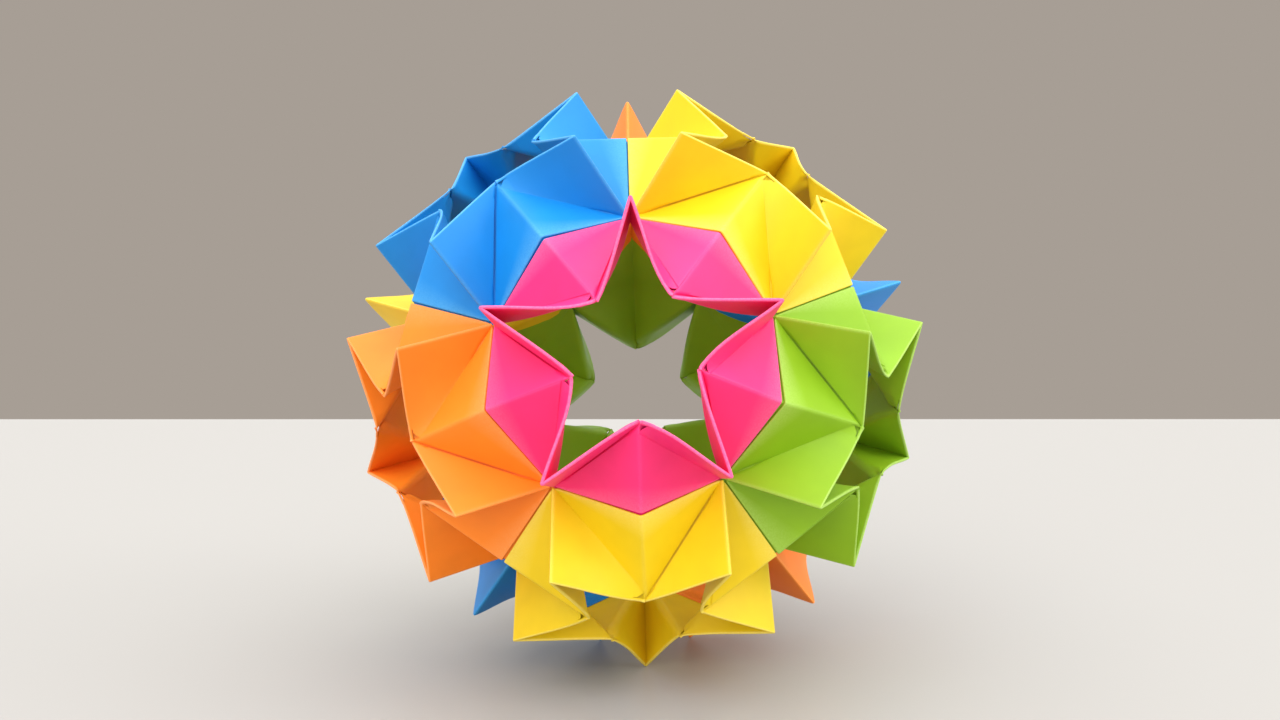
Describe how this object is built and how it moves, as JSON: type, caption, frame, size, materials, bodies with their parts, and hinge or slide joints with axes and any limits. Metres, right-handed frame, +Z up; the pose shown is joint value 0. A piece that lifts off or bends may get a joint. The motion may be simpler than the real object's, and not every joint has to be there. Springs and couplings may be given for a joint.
{
  "type": "kusudama paper ball",
  "caption": "Hollow modular paper ball whose folded rings of star-tipped units stand round open star holes",
  "frame": {"origin": "middle of the bounding box's underside, in the plane of the three tips that the ball stands on", "axes": "+Z is up along a corner axis of the ball, -Y faces the front ring, +X is to the right seen from the front"},
  "size_m": [0.1608, 0.1598, 0.1664],
  "materials": {
    "pink_paper": "matt",
    "orange_paper": "matt",
    "yellow_paper": "matt",
    "green_paper": "matt",
    "blue_paper": "matt"
  },
  "bodies": {
    "root": {"back_green_1": "green_paper", "back_green_2": "green_paper", "back_green_3": "green_paper", "back_green_4": "green_paper", "back_green_5": "green_paper", "back_left_yellow_1": "yellow_paper", "back_left_yellow_2": "yellow_paper", "back_left_yellow_3": "yellow_paper", "back_left_yellow_4": "yellow_paper", "back_left_yellow_5": "yellow_paper", "back_right_blue_1": "blue_paper", "back_right_blue_2": "blue_paper", "back_right_blue_3": "blue_paper", "back_right_blue_4": "blue_paper", "back_right_blue_5": "blue_paper", "front_pink_1": "pink_paper", "front_pink_2": "pink_paper", "front_pink_3": "pink_paper", "front_pink_4": "pink_paper", "front_pink_5": "pink_paper", "left_orange_1": "orange_paper", "left_orange_2": "orange_paper", "left_orange_3": "orange_paper", "left_orange_4": "orange_paper", "left_orange_5": "orange_paper", "lower_left_blue_1": "blue_paper", "lower_left_blue_2": "blue_paper", "lower_left_blue_3": "blue_paper", "lower_left_blue_4": "blue_paper", "lower_left_blue_5": "blue_paper", "lower_right_orange_1": "orange_paper", "lower_right_orange_2": "orange_paper", "lower_right_orange_3": "orange_paper", "lower_right_orange_4": "orange_paper", "lower_right_orange_5": "orange_paper", "lower_yellow_1": "yellow_paper", "lower_yellow_2": "yellow_paper", "lower_yellow_3": "yellow_paper", "lower_yellow_4": "yellow_paper", "lower_yellow_5": "yellow_paper", "right_green_1": "green_paper", "right_green_2": "green_paper", "right_green_3": "green_paper", "right_green_4": "green_paper", "right_green_5": "green_paper", "upper_back_orange_1": "orange_paper", "upper_back_orange_2": "orange_paper", "upper_back_orange_3": "orange_paper", "upper_back_orange_4": "orange_paper", "upper_back_orange_5": "orange_paper", "upper_left_blue_1": "blue_paper", "upper_left_blue_2": "blue_paper", "upper_left_blue_3": "blue_paper", "upper_left_blue_4": "blue_paper", "upper_left_blue_5": "blue_paper", "upper_right_yellow_1": "yellow_paper", "upper_right_yellow_2": "yellow_paper", "upper_right_yellow_3": "yellow_paper", "upper_right_yellow_4": "yellow_paper", "upper_right_yellow_5": "yellow_paper"}
  },
  "joints": []
}
